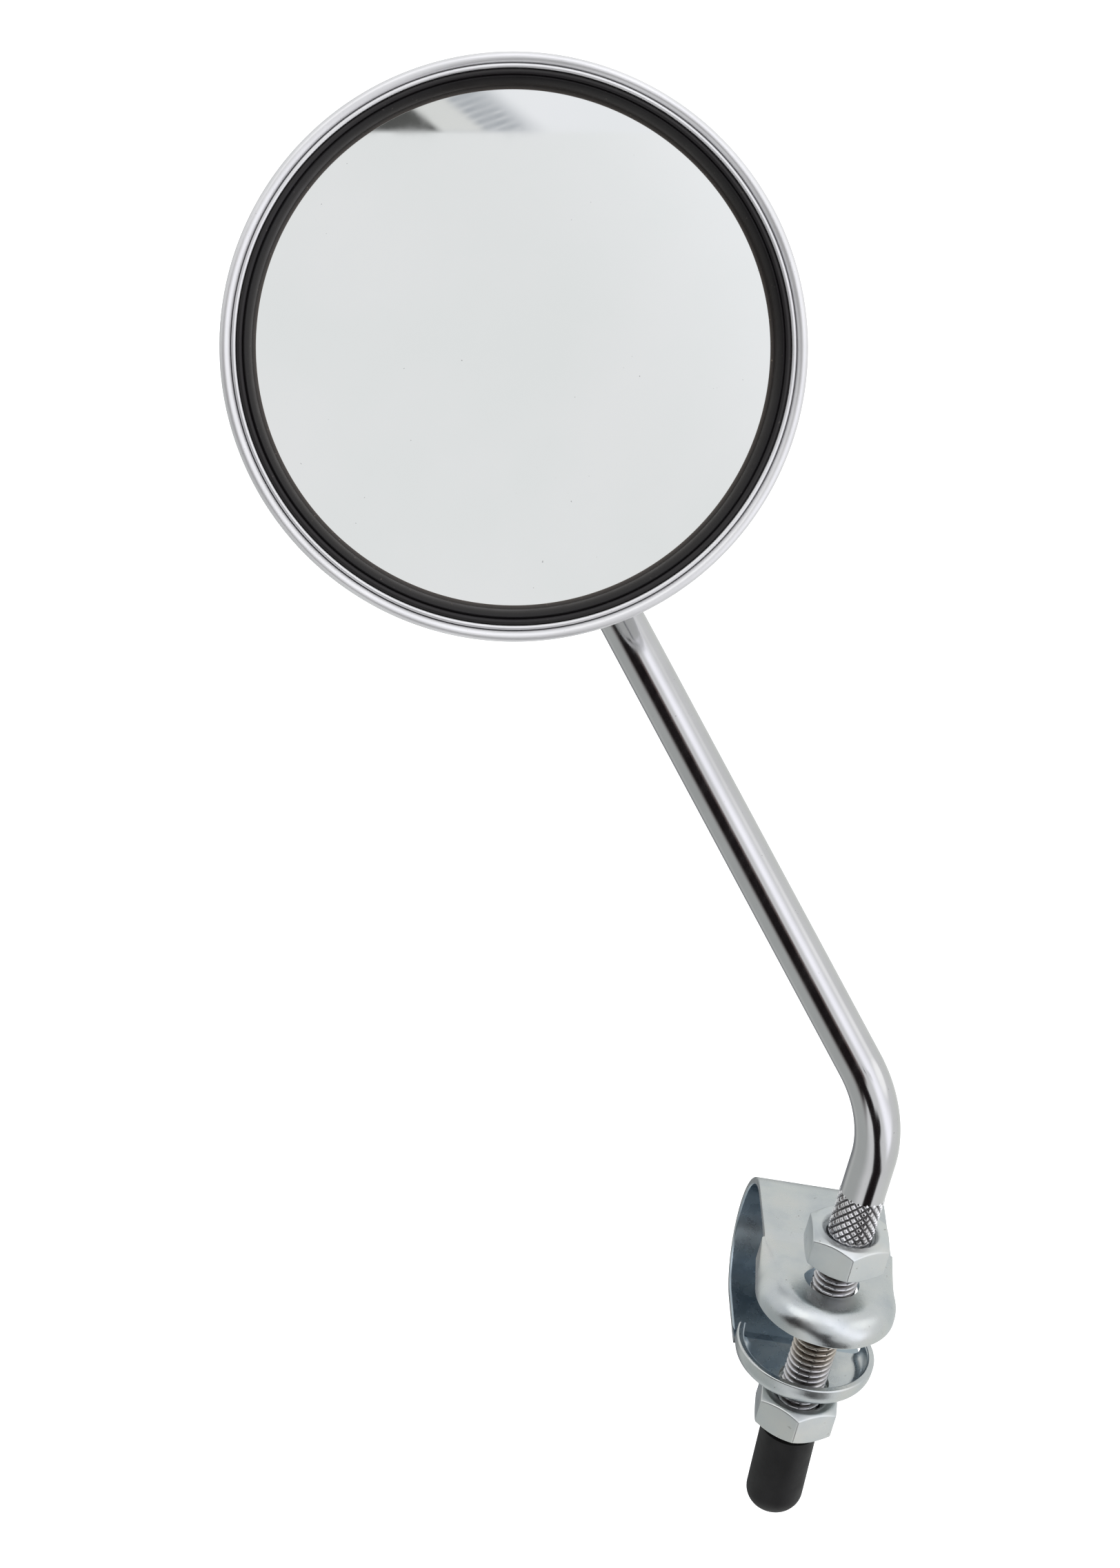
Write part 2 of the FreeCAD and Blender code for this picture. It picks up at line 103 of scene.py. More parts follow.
BEZEL_GAP, BEZEL_TOP_Z, BEZEL_SHOULDER = 0.12, 0.7, 0.3
BEZEL_STEP_TOP, BEZEL_STEP_FOOT = -1.2, -1.6
NUT_FLATS = 13.8
NUT_HEIGHT = 6.5
NUT_MOUTH_RADIUS = 5.25
NUT_BORE_RADIUS = 4.05
NUT_THREAD_DEPTH = 0.5
NUT_FACE_RADIUS = 0.47 * NUT_FLATS
NUT_CHAMFER = tan(radians(30))
NUT_CORNER_ROUNDING = 0.35
NUT_EDGE_ROUNDING = 0.22
NUT_THREAD_FADE = 0.5
STAIN_BOTTOM_Z, STAIN_TOP_Z = -8.0, 6.0
INNER_SHADE_START, INNER_SHADE_END = 0.12, 0.25    # depths past the bore where the painted shade on the loop's inner face fades out
# where the painted shade inside the loop fades out across the crease of the ears
CREASE_FADE_BACK, CREASE_FADE_FRONT = -0.3, 0.1
NUTS = {"upper_nut": (17.2, 30.0), "lower_nut": (-20.0, 25.0)}   # bottom height, corner angle


# ---- mesh helpers ------------------------------------------------------------
def grid_mesh(name, rows, closed=False, crease=radians(50)):
    """Quads between rings of points.

    A closed grid joins its last ring to its first; an open one has a flat cap at each end.
    """
    width = len(rows[0])
    verts = [p for row in rows for p in row]
    faces = []
    count = len(rows)
    for r in range(count if closed else count - 1):
        low, high = r * width, ((r + 1) % count) * width
        for c in range(width):
            d = (c + 1) % width
            faces.append((low + c, low + d, high + d, high + c))
    if not closed:
        faces.append(tuple(reversed(range(width))))
        faces.append(tuple(range((count - 1) * width, count * width)))
    mesh = bpy.data.meshes.new(name)
    mesh.from_pydata([v * MM for v in verts], [], faces)
    mesh.validate()
    mesh.shade_smooth()
    mesh.set_sharp_from_angle(angle=crease)
    obj = bpy.data.objects.new(name, mesh)
    bpy.context.scene.collection.objects.link(obj)
    return obj


def ring_about(centre, axis, side, radius, count):
    other = axis.cross(side)
    return [
        centre + (side * cos(2 * pi * c / count) + other * sin(2 * pi * c / count)) * radius
        for c in range(count)
    ]


def stud_point(radius, angle, z):
    return Vector((STUD_X + radius * cos(angle), STUD_Y + radius * sin(angle), z))


def bend_through(a, b, c, steps):
    """Points of the arc from a through b to c, without the first one."""
    mid_ab, mid_bc = (a + b) / 2, (b + c) / 2
    ab, bc = b - a, c - b
    cross = ab.x * bc.y - ab.y * bc.x
    reach = ((mid_bc - mid_ab).x * bc.x + (mid_bc - mid_ab).y * bc.y) / cross
    centre = mid_ab + Vector((-ab.y, ab.x)) * reach
    spoke = a - centre
    turn = spoke.angle_signed(b - centre) + (b - centre).angle_signed(c - centre)
    points = []
    for k in range(1, steps + 1):
        angle = -turn * k / steps
        points.append(centre + Vector((spoke.x * cos(angle) - spoke.y * sin(angle),
                                       spoke.x * sin(angle) + spoke.y * cos(angle))))
    return points


class Outline:
    """Half section of a turned piece, drawn as (radius, height) with lines and arcs."""

    def __init__(self, radius, height):
        self.points = [Vector((radius, height))]

    def to(self, radius, height):
        self.points.append(Vector((radius, height)))
        return self

    def bend(self, through, end, steps=10):
        self.points += bend_through(self.points[-1], Vector(through), Vector(end), steps)
        return self


def turned(name, outline, columns=360, closed=True):
    """Solid of revolution about the head's axis; an open outline gets flat ends."""
    axis = HEAD_NORMAL
    side = axis.orthogonal().normalized()
    rows = [
        ring_about(HEAD_CENTRE + axis * p.y, axis, side, p.x, columns) for p in outline.points
    ]
    return grid_mesh(name, rows, closed, crease=radians(35))


def on_ball(radius, angle):
    """Point (radius, height) on a sphere about the ball, angle from the back of the head."""
    return radius * sin(radians(angle)), BALL_Z - radius * cos(radians(angle))


# ---- mirror head -------------------------------------------------------------
def make_shell():
    """Chrome bowl with a ball socket in its floor and a rolled bead round its mouth."""
    inside = SKIRT_RADIUS - SHEET
    floor = BOWL_FLOOR_Z
    outer_meet = sqrt(SOCKET_OUTER ** 2 - (BALL_Z - floor) ** 2)
    inner_meet = sqrt(SOCKET_INNER ** 2 - (BALL_Z - floor - SHEET) ** 2)
    waist_r, waist_z = BOWL_WAIST
    inner_waist = (waist_r - 0.35, waist_z + SHEET - 0.05)
    bead = RIM_RADIUS - BEAD_RADIUS
    outer_root, inner_root = 0.02 - BEAD_RADIUS, 0.12 - BEAD_RADIUS
    bowl = Outline(*on_ball(SOCKET_OUTER, MOUTH_ANGLE))
    bowl.bend(on_ball(SOCKET_OUTER, 60), (outer_meet, floor))
    bowl.to(BOWL_FLOOR_RADIUS, floor)
    bowl.bend((waist_r, waist_z), (SKIRT_RADIUS, -SKIRT_DEPTH), 24)
    bowl.to(SKIRT_RADIUS, outer_root)
    bowl.bend((RIM_RADIUS, 0.0), (bead, BEAD_RADIUS), 16)
    bowl.bend((bead - BEAD_RADIUS, 0.0), (inside, inner_root), 12)
    bowl.to(inside, -SKIRT_DEPTH - 0.2)
    bowl.bend(inner_waist, (BOWL_FLOOR_RADIUS, floor + SHEET), 24)
    bowl.to(inner_meet, floor + SHEET)
    bowl.bend(on_ball(SOCKET_INNER, 60), on_ball(SOCKET_INNER, MOUTH_ANGLE))
    return turned("head_bowl", bowl)


def make_bezel():
    """Thin chrome ring between the bead and the rubber, with a rounded top."""
    outer = RIM_RADIUS - 2 * BEAD_RADIUS - BEZEL_GAP
    seat = SKIRT_RADIUS - SHEET
    foot = -SKIRT_DEPTH + 0.4
    shoulder = BEZEL_TOP_Z - BEZEL_SHOULDER
    ring = Outline(GASKET_OUTER, foot).to(GASKET_OUTER, shoulder)
    ring.bend(((GASKET_OUTER + outer) / 2, BEZEL_TOP_Z), (outer, shoulder), 12)
    ring.to(outer, BEZEL_STEP_TOP).to(seat, BEZEL_STEP_FOOT).to(seat, foot)
    return turned("bezel_trim", ring)


def make_gasket():
    """Black rubber ring: a lip on the glass, a soft slope up from it and two ridges."""
    back = GLASS_EDGE_Z - GLASS_THICKNESS
    foot, pocket = back - 0.9, GASKET_INNER + 0.4
    lip = GLASS_EDGE_Z + 0.5
    ridge, valley = GASKET_INNER + 1.95, GASKET_INNER + 2.35
    outer, crown = GASKET_OUTER - 0.1, GASKET_CROWN_Z
    ring = Outline(GASKET_INNER, GLASS_EDGE_Z + 0.04).to(GASKET_INNER, lip - 0.12)
    ring.bend((GASKET_INNER + 0.04, lip - 0.03), (GASKET_INNER + 0.12, lip), 4)
    ring.to(GASKET_INNER + 0.55, lip + 0.1)
    ring.bend((GASKET_INNER + 1.05, crown - 1.05), (ridge, crown - 0.25), 12)
    ring.bend((ridge + 0.16, crown - 0.36), (valley, crown - 0.75), 5)
    ring.bend((valley + 0.55, crown - 0.06), (outer, crown - 0.55), 14)
    ring.to(outer, foot).to(pocket, foot).to(pocket, back)
    ring.to(GLASS_RADIUS, back).to(GLASS_RADIUS, GLASS_EDGE_Z)
    return turned("gasket_ring", ring)


def make_lens():
    """Round mirror plate with a shallow convex face."""
    radius, hub = GLASS_RADIUS - 0.02, 0.4
    sphere = (GLASS_RADIUS ** 2 + GLASS_CROWN ** 2) / (2 * GLASS_CROWN)
    back = GLASS_EDGE_Z - GLASS_THICKNESS
    plate = Outline(hub, back).to(radius, back).to(radius, GLASS_EDGE_Z)
    steps = 47
    for k in range(1, steps + 1):
        r = radius - (radius - hub) * k / steps
        plate.to(r, GLASS_EDGE_Z + GLASS_CROWN - sphere + sqrt(sphere ** 2 - r ** 2))
    return turned("mirror_lens", plate, columns=240, closed=False)


# ---- bent arm ----------------------------------------------------------------
def arm_corners():
    """Corner points of the arm's centre line, from above the knurl to the ball."""
    vertex = Vector((STUD_X, STUD_Y, BEND_VERTEX_Z))
    upper = vertex + ARM_DIRECTION * ARM_STRAIGHT
    ball = HEAD_CENTRE + HEAD_NORMAL * BALL_Z
    elbow = ball - HEAD_NORMAL * NECK_LENGTH
    # the elbow's corner depends on its own bend angle, so it is closed in on
    for _ in range(30):
        angle = (elbow - upper).angle(HEAD_NORMAL)
        reach = NECK_LENGTH + SHOULDER_ROUNDING + ELBOW_BEND_RADIUS * tan(angle / 2)
        elbow = ball - HEAD_NORMAL * reach
    return vertex, upper, elbow, ball


def bent_line(points, radii, step=radians(1.5)):
    """Points and directions along straight runs joined by tangent arcs."""
    stations = [(points[0], (points[1] - points[0]).normalized())]
    for before, corner, after, radius in zip(points, points[1:], points[2:], radii):
        incoming = (corner - before).normalized()
        outgoing = (after - corner).normalized()
        turn = incoming.angle(outgoing)
        axis = incoming.cross(outgoing).normalized()
        start = corner - incoming * radius * tan(turn / 2)
        centre = start + axis.cross(incoming) * radius
        count = max(4, round(turn / step))
        for k in range(count + 1):
            spin = Quaternion(axis, turn * k / count)
            stations.append((centre + spin @ (start - centre), spin @ incoming))
    stations.append((points[-1], (points[-1] - points[-2]).normalized()))
    return stations


def make_arm_tube():
    """Chromed tube from the knurl over both bends to the neck inside the head."""
    vertex, upper, elbow, ball = arm_corners()
    shoulder = ball - HEAD_NORMAL * NECK_LENGTH
    foot = Vector((STUD_X, STUD_Y, KNURL_TOP_Z - 0.5))
    stations = bent_line([foot, vertex, upper, elbow, shoulder],
                         [LOWER_BEND_RADIUS, UPPER_BEND_RADIUS, ELBOW_BEND_RADIUS])
    end, along = stations.pop()
    rings = [(p, d, ARM_RADIUS) for p, d in stations]
    for angle in (radians(15 * k) for k in range(7)):
        back, drop = SHOULDER_ROUNDING * (1 - sin(angle)), SHOULDER_ROUNDING * (1 - cos(angle))
        rings.append((end - along * back, along, ARM_RADIUS - drop))
    fillet = 0.1
    rings.append((end, along, NECK_RADIUS + fillet))
    rings.append((end + along * fillet, along, NECK_RADIUS))
    rings.append((end + along * (NECK_LENGTH - NECK_IN_BALL), along, NECK_RADIUS))
    side = Vector((1, 0, 0))
    rows = []
    for place, direction, radius in rings:
        side = (side - direction * side.dot(direction)).normalized()
        rows.append(ring_about(place, direction, side, radius, 96))
    return grid_mesh("arm_tube", rows)


def make_knurl_band():
    """Diamond knurl: two sets of helical grooves cut into a slightly proud band."""
    columns, spacing = 20 * KNURL_LINES, 0.08
    height = KNURL_TOP_Z - KNURL_BOTTOM_Z
    foot = ARM_RADIUS - KNURL_SINK
    count = round(height / spacing)
    rows = []
    for r in range(count + 1):
        z = height * r / count
        edge = min(1.0, z / KNURL_FADE_LOW, (height - z) / KNURL_FADE_HIGH)
        lead = z / KNURL_RADIUS * KNURL_LEAD
        ring = []
        for c in range(columns):
            angle = 2 * pi * c / columns
            groove = 0.0
            for hand in (1, -1):
                phase = (angle + hand * lead) * KNURL_LINES / (2 * pi)
                groove = max(groove, KNURL_GROOVE - abs((phase % 1.0) - 0.5) * KNURL_FLANK)
            proud = KNURL_RADIUS - foot - KNURL_DEPTH * min(1.0, groove)
            ring.append(stud_point(foot + proud * edge, angle, KNURL_BOTTOM_Z + z))
        rows.append(ring)
    return grid_mesh("knurl_band", rows)


def thread_height(turns):
    """Height above the root at a phase of the pitch: 0 in the root and 1 on the crest."""
    phase = abs((turns % 1.0) - 0.5) * 2
    return min(1.0, max(0.0, (phase - THREAD_ROOT) / THREAD_FLANK)) ** THREAD_CURVE


def make_stud_thread():
    """Helical thread on the arm's lower end, with a chamfered tip."""
    columns, spacing = 72, THREAD_PITCH / 12
    height = KNURL_BOTTOM_Z + 0.1 - STUD_END_Z
    count = round(height / spacing)
    rows = []
    for r in range(count + 1):
        z = height * r / count
        ring = []
        for c in range(columns):
            turns = z / THREAD_PITCH - c / columns
            run_out = min(1.0, (height - z) / THREAD_RUN_OUT)
            radius = THREAD_RADIUS - THREAD_DEPTH * run_out * (1 - thread_height(turns))
            radius = min(radius, THREAD_RADIUS - TIP_CHAMFER + z) - THREAD_INSET
            ring.append(stud_point(radius, 2 * pi * c / columns, STUD_END_Z + z))
        rows.append(ring)
    return grid_mesh("stud_thread", rows)


# ---- nuts --------------------------------------------------------------------
def hexagon_radius(angle):
    """Distance to a hexagon with rounded corners; angle from the middle of a flat."""
    apothem = NUT_FLATS / 2
    inner = apothem - NUT_CORNER_ROUNDING
    if abs(angle) <= atan2(inner * tan(pi / 6), apothem):
        return apothem / cos(angle)
    centre = inner / cos(pi / 6)
    off = abs(angle) - pi / 6
    return centre * cos(off) + sqrt(NUT_CORNER_ROUNDING ** 2 - (centre * sin(off)) ** 2)


def rounded(corners, reach, steps=4):
    """Polyline with each inner corner replaced by a short parabola."""
    path = [corners[0]]
    for before, corner, after in zip(corners, corners[1:], corners[2:]):
        back, ahead = before - corner, after - corner
        short = min(reach, back.length * 0.45, ahead.length * 0.45)
        back, ahead = back.normalized() * short, ahead.normalized() * short
        for k in range(steps + 1):
            t = k / steps
            path.append(corner + back * (1 - t) ** 2 + ahead * t ** 2)
    path.append(corners[-1])
    return path


def nut_section(angle, outer):
    """Half section of the nut at one angle as (radius, height), from bore to bore."""
    drop = (outer - NUT_FACE_RADIUS) * NUT_CHAMFER
    cut = NUT_BORE_RADIUS + NUT_THREAD_DEPTH
    mouth = (NUT_MOUTH_RADIUS - cut) * 0.95
    upper = [(outer, NUT_HEIGHT / 2), (outer, NUT_HEIGHT - drop), (NUT_FACE_RADIUS, NUT_HEIGHT),
             (NUT_MOUTH_RADIUS, NUT_HEIGHT), (cut, NUT_HEIGHT - mouth)]
    top = rounded([Vector(p) for p in upper], NUT_EDGE_ROUNDING)
    bottom = [Vector((p.x, NUT_HEIGHT - p.y)) for p in reversed(top)][:-1]
    bore = []
    low, high, steps = mouth, NUT_HEIGHT - mouth, 60
    for k in range(1, steps):
        z = high + (low - high) * k / steps
        rise = thread_height(z / THREAD_PITCH - angle / (2 * pi))
        fade = min(1.0, (z - low) / NUT_THREAD_FADE, (high - z) / NUT_THREAD_FADE)
        bore.append(Vector((cut - NUT_THREAD_DEPTH * rise * fade, z)))
    return bottom + top + bore


def make_nut(node):
    """Hex nut with a threaded bore; its sections crowd together near the corners."""
    low, corner_angle = NUTS[node]
    sections = []
    per_side, crowding = 28, 1.7
    for sextant in range(6):
        for k in range(per_side):
            s = 2 * k / per_side - 1
            across = (1 - (1 - abs(s)) ** crowding) * (pi / 6) * (1 if s > 0 else -1)
            angle = radians(corner_angle + 30 + 60 * sextant) + across
            section = nut_section(angle, hexagon_radius(across))
            sections.append([stud_point(p.x, angle, low + p.y) for p in section])
    rows = [list(ring) for ring in zip(*sections)]
    return grid_mesh(node + "_hex", rows, closed=True)


# ---- materials ---------------------------------------------------------------
MIX_A, MIX_B, MIX_RESULT = 6, 7, 2      # colour sockets of a Mix node


class Nodes:
    """A node tree with short ways to add and link its nodes."""

    def __init__(self, tree):
        self.tree = tree

    def add(self, kind, **values):
        node = self.tree.nodes.new(kind)
        for key, value in values.items():
            setattr(node, key, value)
        return node

    def link(self, source, target):
        self.tree.links.new(source, target)


class Shader(Nodes):
    """A node material with a Principled shader."""

    def __init__(self, name):
        self.material = bpy.data.materials.new(name)
        self.material.use_nodes = True
        super().__init__(self.material.node_tree)
        self.principled = self.tree.nodes["Principled BSDF"]
        self.position = self.add("ShaderNodeTexCoord").outputs["Object"]

    def set(self, **values):
        for key, value in values.items():
            self.principled.inputs[key.replace("_", " ")].default_value = value

    def noise(self, scale, detail=4.0, roughness=0.55, stretch=(1, 1, 1)):
        """Noise value over the object; scale in features per metre."""
        mapping = self.add("ShaderNodeMapping")
        mapping.inputs["Scale"].default_value = stretch
        self.link(self.position, mapping.inputs["Vector"])
        node = self.add("ShaderNodeTexNoise")
        node.inputs["Scale"].default_value = scale
        node.inputs["Detail"].default_value = detail
        node.inputs["Roughness"].default_value = roughness
        self.link(mapping.outputs["Vector"], node.inputs["Vector"])
        return node.outputs["Fac"]

    def vector(self, operation, a, b=None):
        node = self.add("ShaderNodeVectorMath", operation=operation)
        self.link(a, node.inputs[0])
        if isinstance(b, (tuple, Vector)):
            node.inputs[1].default_value = b
        elif b is not None:
            self.link(b, node.inputs[1])
        return node.outputs["Value" if operation in ("LENGTH", "DOT_PRODUCT") else "Vector"]

    def from_axis(self, point, axis):
        """Distances in metres from a line through point: (out from it, along it)."""
        offset = self.vector("SUBTRACT", self.position, Vector(point) * MM)
        along = self.vector("DOT_PRODUCT", offset, Vector(axis))
        out = self.vector("LENGTH", self.vector("CROSS_PRODUCT", offset, Vector(axis)))
        return out, along

    def ramp(self, value, stops):
        """Colour ramp over a value; stops are (position, colour)."""
        node = self.add("ShaderNodeValToRGB")
        ramp = node.color_ramp
        while len(ramp.elements) < len(stops):
            ramp.elements.new(0.5)
        for element, (place, colour) in zip(ramp.elements, stops):
            element.position = place
            element.color = (*colour, 1) if len(colour) == 3 else colour
        self.link(value, node.inputs["Fac"])
        return node.outputs["Color"]

    def maximum(self, a, b):
        node = self.add("ShaderNodeMath", operation="MAXIMUM")
        self.link(a, node.inputs[0])
        if isinstance(b, float):
            node.inputs[1].default_value = b
        else:
            self.link(b, node.inputs[1])
        return node.outputs[0]

    def range(self, value, low, high, to_low, to_high):
        node = self.add("ShaderNodeMapRange")
        limits = {"From Min": low, "From Max": high, "To Min": to_low, "To Max": to_high}
        for key, number in limits.items():
            node.inputs[key].default_value = number
        self.link(value, node.inputs["Value"])
        return node.outputs["Result"]

    def multiply(self, a, b):
        node = self.add("ShaderNodeMix", data_type="RGBA", blend_type="MULTIPLY")
        node.inputs["Factor"].default_value = 1.0
        self.link(a, node.inputs[MIX_A])
        self.link(b, node.inputs[MIX_B])
        return node.outputs[MIX_RESULT]

    def colour(self, source):
        self.link(source, self.principled.inputs["Base Color"])

    def tint(self, source):
        """Multiplies the base colour that is there already."""
        base = self.principled.inputs["Base Color"].links[0].from_socket
        self.colour(self.multiply(base, source))

    def metal(self, source):
        self.link(source, self.principled.inputs["Metallic"])

    def rough(self, source):
        self.link(source, self.principled.inputs["Roughness"])

    def bump(self, height, distance, strength=1.0):
        node = self.add("ShaderNodeBump")
        node.inputs["Distance"].default_value = distance
        node.inputs["Strength"].default_value = strength
        self.link(height, node.inputs["Height"])
        self.link(node.outputs["Normal"], self.principled.inputs["Normal"])


def grey(value, tint=(1, 1, 1)):
    return tuple(value * t for t in tint)


def chrome(name, base=0.62, polish=0.06):
    """Bright plating: faint clouding and fine polishing scratches."""
    s = Shader(name)
    s.set(Metallic=1.0)
    cool = (0.985, 0.985, 1.0)
    cloud = s.ramp(s.noise(90, 5), [(0.3, grey(base * 0.95, cool)), (0.7, grey(base * 1.03, cool))])
    specks = s.ramp(s.noise(2600, 2), [(0.22, grey(0.55)), (0.27, grey(1.0))])
    s.colour(s.multiply(cloud, specks))
    s.rough(s.range(s.noise(500, 3, stretch=(1, 1, 0.15)), 0.3, 0.7, polish * 0.7, polish * 1.5))
    s.bump(s.noise(60, 2), 0.02 * MM)
    return s


def shell_chrome(name):
    """Bowl and rim plating: mirror-bright bowl, softer buffed rim."""
    s = chrome(name, 0.66, 0.07)
    _, along = s.from_axis(HEAD_CENTRE, HEAD_NORMAL)
    start, full = RIM_FINISH_START * MM, RIM_FINISH_FULL * MM
    s.rough(s.range(along, start, full, 0.06, 0.34))
    s.metal(s.range(along, start, full, 1.0, 0.62))
    return s


def gasket_rubber(name):
    """Black rubber: dusty brownish lip on the glass, black slope, grey outer ridge."""
    s = rubber(name, 0.008, 0.40, 900)
    out, _ = s.from_axis(HEAD_CENTRE, HEAD_NORMAL)
    across = s.range(out, GASKET_INNER * MM, GASKET_OUTER * MM, 0, 1)
    zones = s.ramp(across, [(0.0, (0.050, 0.042, 0.036)), (0.12, (0.026, 0.023, 0.021)),
                            (0.40, (0.012, 0.011, 0.011)), (0.55, (0.005, 0.0045, 0.005)),
                            (0.72, (0.010, 0.009, 0.010)), (1.0, (0.018, 0.017, 0.017))])
    dust = s.ramp(s.noise(1500, 2), [(0.70, (1, 1, 1)), (0.76, (4.0, 3.8, 3.4))])
    s.colour(s.multiply(zones, dust))
    return s


def zinc(name, base=0.68, polish=0.26, tint=(0.955, 1.0, 1.005)):
    """Bright zinc plating: satin grain, bluish and yellowish clouds, small dings."""
    s = Shader(name)
    s.set(Metallic=1.0)
    cloud = s.ramp(s.noise(120, 5), [
        (0.28, grey(base * 0.86, (0.93, 1.0, 1.05))), (0.5, grey(base, tint)),
        (0.72, grey(base * 1.05, (0.99, 1.0, 0.965)))])
    pits = s.ramp(s.noise(700, 3, 0.7), [(0.27, grey(0.6, (1.0, 0.95, 0.9))), (0.33, grey(1.0))])
    s.colour(s.multiply(cloud, pits))
    s.rough(s.range(s.noise(260, 4), 0.3, 0.7, polish * 0.8, polish * 1.25))
    s.bump(s.noise(1800, 3), 0.02 * MM, 0.6)
    return s


def strap_zinc(name):
    """Clamp stamping: bright satin zinc outside, painted slate-blue shade inside the loop."""
    s = zinc(name, 0.64, 0.27)
    parts = s.add("ShaderNodeSeparateXYZ")
    s.link(s.position, parts.inputs[0])
    behind = s.add("ShaderNodeCombineXYZ")
    s.link(s.maximum(parts.outputs["Y"], 0.0), behind.inputs["Y"])
    s.link(parts.outputs["Z"], behind.inputs["Z"])
    from_bar = s.vector("LENGTH", behind.outputs[0])
    outside = s.range(from_bar, (BORE_RADIUS + INNER_SHADE_START) * MM,
                      (BORE_RADIUS + INNER_SHADE_END) * MM, 0, 1)
    in_ears = s.range(parts.outputs["Y"], (EAR_CREASE_Y + CREASE_FADE_BACK) * MM,
                      (EAR_CREASE_Y + CREASE_FADE_FRONT) * MM, 1, 0)
    # painted shade: slate-blue tint over the inner face of the loop, clear of the ears
    s.tint(s.ramp(s.maximum(outside, in_ears), [(0.0, (0.68, 0.76, 0.84)), (1.0, (1, 1, 1))]))
    return s


def grooved(name, root, crest, stops, brown):
    """Plated stud surface: painted shade that darkens it from crest to root, and a brown stain."""
    s = Shader(name)
    s.set(Metallic=1.0)
    out, height = s.from_axis((STUD_X, STUD_Y, 0), (0, 0, 1))
    depth = s.range(out, root * MM, crest * MM, 0, 1)
    # painted shade: colour darkens from the crest down into each root
    root_shade = s.ramp(depth, stops)
    level = s.range(height, STAIN_BOTTOM_Z * MM, STAIN_TOP_Z * MM, 0, 1)
    stain = s.ramp(level, [(0.1, (1, 1, 1)), (0.35, brown), (0.8, brown), (0.95, (1, 1, 1))])
    patches = s.ramp(s.noise(160, 4), [(0.36, (0.86, 0.85, 0.84)), (0.6, (1, 1, 1))])
    s.colour(s.multiply(root_shade, s.multiply(patches, stain)))
    s.rough(s.range(depth, 0, 1, 0.42, 0.14))
    s.bump(s.noise(1500, 3), 0.03 * MM, 0.5)
    return s


def mirror(name):
    """Silvered glass: near-perfect reflection with a few specks of dust and faint haze."""
    s = Shader(name)
    s.set(Metallic=1.0)
    haze = s.ramp(s.noise(35, 4), [(0.35, (0.865, 0.885, 0.88)), (0.65, (0.89, 0.90, 0.90))])
    dust = s.ramp(s.noise(1300, 1), [(0.17, grey(0.6)), (0.19, grey(1.0))])
    s.colour(s.multiply(haze, dust))
    s.rough(s.range(s.noise(220, 5), 0.35, 0.75, 0.012, 0.03))
    return s


def rubber(name, shade=0.018, polish=0.42, grain=1400, tint=(1, 0.98, 0.98)):
    """Moulded black rubber or vinyl: even, with a fine grain and dusty lighter spots."""
    s = Shader(name)
    s.set(Specular_IOR_Level=0.28)
    dark, light = grey(shade * 0.75, tint), grey(shade * 1.3, tint)
    s.colour(s.ramp(s.noise(140, 5), [(0.35, dark), (0.7, light)]))
    s.rough(s.range(s.noise(320, 4), 0.3, 0.7, polish * 0.85, polish * 1.15))
    s.bump(s.noise(grain, 4), 0.04 * MM, 0.5)
    return s


def plain_metal(name, base, polish, tint=(1, 1, 1)):
    """Bare steel with soft clouding and a grain along its length."""
    s = Shader(name)
    s.set(Metallic=1.0)
    dark, light = grey(base * 0.85, tint), grey(base * 1.08, tint)
    s.colour(s.ramp(s.noise(220, 4), [(0.3, dark), (0.7, light)]))
    s.rough(s.range(s.noise(400, 4, stretch=(1, 1, 0.3)), 0.3, 0.7, polish * 0.75, polish * 1.25))
    s.bump(s.noise(1300, 3), 0.02 * MM, 0.5)
    return s


def moulded(name, low, high, polish, bump):
    """Plastic or foam with a fine grain between two colours."""
    s = Shader(name)
    s.colour(s.ramp(s.noise(300, 5), [(0.35, low), (0.68, high)]))
    s.rough(s.range(s.noise(500, 4), 0.3, 0.7, polish * 0.85, polish * 1.15))
    s.bump(s.noise(1600, 4), bump, 0.7)
    return s


# ---- studio ------------------------------------------------------------------
# The studio's own axes in the object's frame: across it, up, and towards its front.
STUDIO_RIGHT = Vector((0.9756, -0.0349, 0.2170))
STUDIO_UP = Vector((-0.1614, 0.5565, 0.8150))
STUDIO_FRONT = Vector((-0.1492, -0.8301, 0.5373))
CAMERA_PLACE = Vector((-0.21235, -0.81619, 0.61918))
CAMERA_LENS = 132.98
ARM_SIDE = STUDIO_FRONT.cross(ARM_DIRECTION).normalized() * -1   # across the arm, to the right
FLOOR_Z, FLOOR_REACH = -0.75, 6.0
BLACK = (0.014, 0.011, 0.012)


def studio_direction(x, y, z):
    return (STUDIO_RIGHT * x + STUDIO_UP * y + STUDIO_FRONT * z).normalized()


